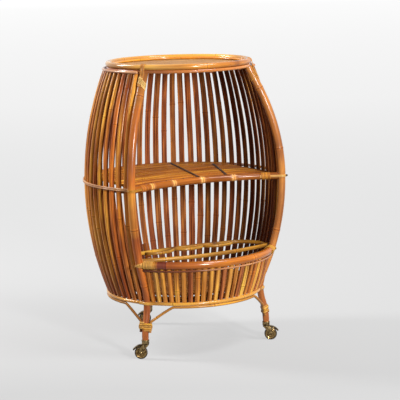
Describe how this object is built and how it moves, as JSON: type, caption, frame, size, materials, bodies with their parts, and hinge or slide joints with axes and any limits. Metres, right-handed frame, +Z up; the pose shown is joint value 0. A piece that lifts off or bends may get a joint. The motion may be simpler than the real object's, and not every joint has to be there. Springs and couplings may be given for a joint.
{
  "type": "mobile bar",
  "caption": "Barrel-shaped bar cabinet of bamboo cane with an open front, a shelf, a bottle rack and a round top, on swivelling casters.",
  "frame": {"origin": "on the floor, under the middle of the whole part", "axes": "+Z up, -Y out of the open front, +X to the right for a person who faces the open front"},
  "size_m": [0.7468, 0.7203, 1.0818],
  "materials": {
    "pole_cane": "varnished bamboo pole",
    "wall_cane": "varnished cane",
    "rail_cane": "glossy varnished cane",
    "rim_cane": "pale varnished cane",
    "trim_cane": "dark varnished cane",
    "panel_cane": "split cane, matte",
    "shelf_cane": "split cane, satin",
    "inner_cane": "plain cane",
    "hoop_cane": "pale cane",
    "rack_cane": "varnished cane",
    "batten": "dark cane strip",
    "binding": "cane peel",
    "brass": "aged brass",
    "hub_brass": "turned brass",
    "tyre": "dark rubber"
  },
  "bodies": {
    "frame": {"left_pole": "pole_cane", "right_pole": "pole_cane", "rear_leg": "pole_cane", "rim_hoop": "rim_cane", "under_hoop": "rim_cane", "inner_hoop": "rim_cane", "wall_trim": "trim_cane", "top_canes": "panel_cane", "top_bearers": "inner_cane", "left_wall_canes": "wall_cane", "rear_wall_canes": "wall_cane", "right_wall_canes": "wall_cane", "belly_hoop": "hoop_cane", "shelf_hoop": "inner_cane", "shelf_rail": "rail_cane", "shelf_canes": "shelf_cane", "shelf_bearers": "inner_cane", "shelf_battens": "batten", "basket_rail": "rail_cane", "basket_trim": "hoop_cane", "basket_canes": "wall_cane", "base_hoop": "hoop_cane", "base_inner_hoop": "inner_cane", "floor_canes": "shelf_cane", "floor_bearers": "inner_cane", "rack_front_rail": "rack_cane", "rack_back_rail": "rack_cane", "rack_scallop": "rack_cane", "front_brace": "hoop_cane", "left_brace": "hoop_cane", "right_brace": "hoop_cane", "rim_binding": "binding", "shelf_binding": "binding", "basket_binding": "binding", "leg_binding": "binding", "left_socket": "brass", "right_socket": "brass", "rear_socket": "brass"},
    "left_caster": {"left_fork": "brass", "left_axle": "brass"},
    "left_wheel": {"left_hub": "hub_brass", "left_tyre": "tyre"},
    "right_caster": {"right_fork": "brass", "right_axle": "brass"},
    "right_wheel": {"right_hub": "hub_brass", "right_tyre": "tyre"},
    "rear_caster": {"rear_fork": "brass", "rear_axle": "brass"},
    "rear_wheel": {"rear_hub": "hub_brass", "rear_tyre": "tyre"}
  },
  "joints": [
    {"name": "left_swivel", "type": "hinge", "parent": "frame", "child": "left_caster", "pos_m": [-0.25798, -0.18722, 0.056], "axis": [0, 0, 1], "continuous": true},
    {"name": "left_roll", "type": "hinge", "parent": "left_caster", "child": "left_wheel", "pos_m": [-0.27299, -0.17924, 0.024], "axis": [-0.4695, -0.8829, 0], "continuous": true},
    {"name": "right_swivel", "type": "hinge", "parent": "frame", "child": "right_caster", "pos_m": [0.25798, -0.18722, 0.056], "axis": [0, 0, 1], "continuous": true},
    {"name": "right_roll", "type": "hinge", "parent": "right_caster", "child": "right_wheel", "pos_m": [0.27299, -0.1952, 0.024], "axis": [0.4695, 0.8829, 0], "continuous": true},
    {"name": "rear_swivel", "type": "hinge", "parent": "frame", "child": "rear_caster", "pos_m": [0, 0.29797, 0.056], "axis": [0, 0, 1], "continuous": true},
    {"name": "rear_roll", "type": "hinge", "parent": "rear_caster", "child": "rear_wheel", "pos_m": [-0.01501, 0.30595, 0.024], "axis": [-0.4695, -0.8829, 0], "continuous": true}
  ]
}
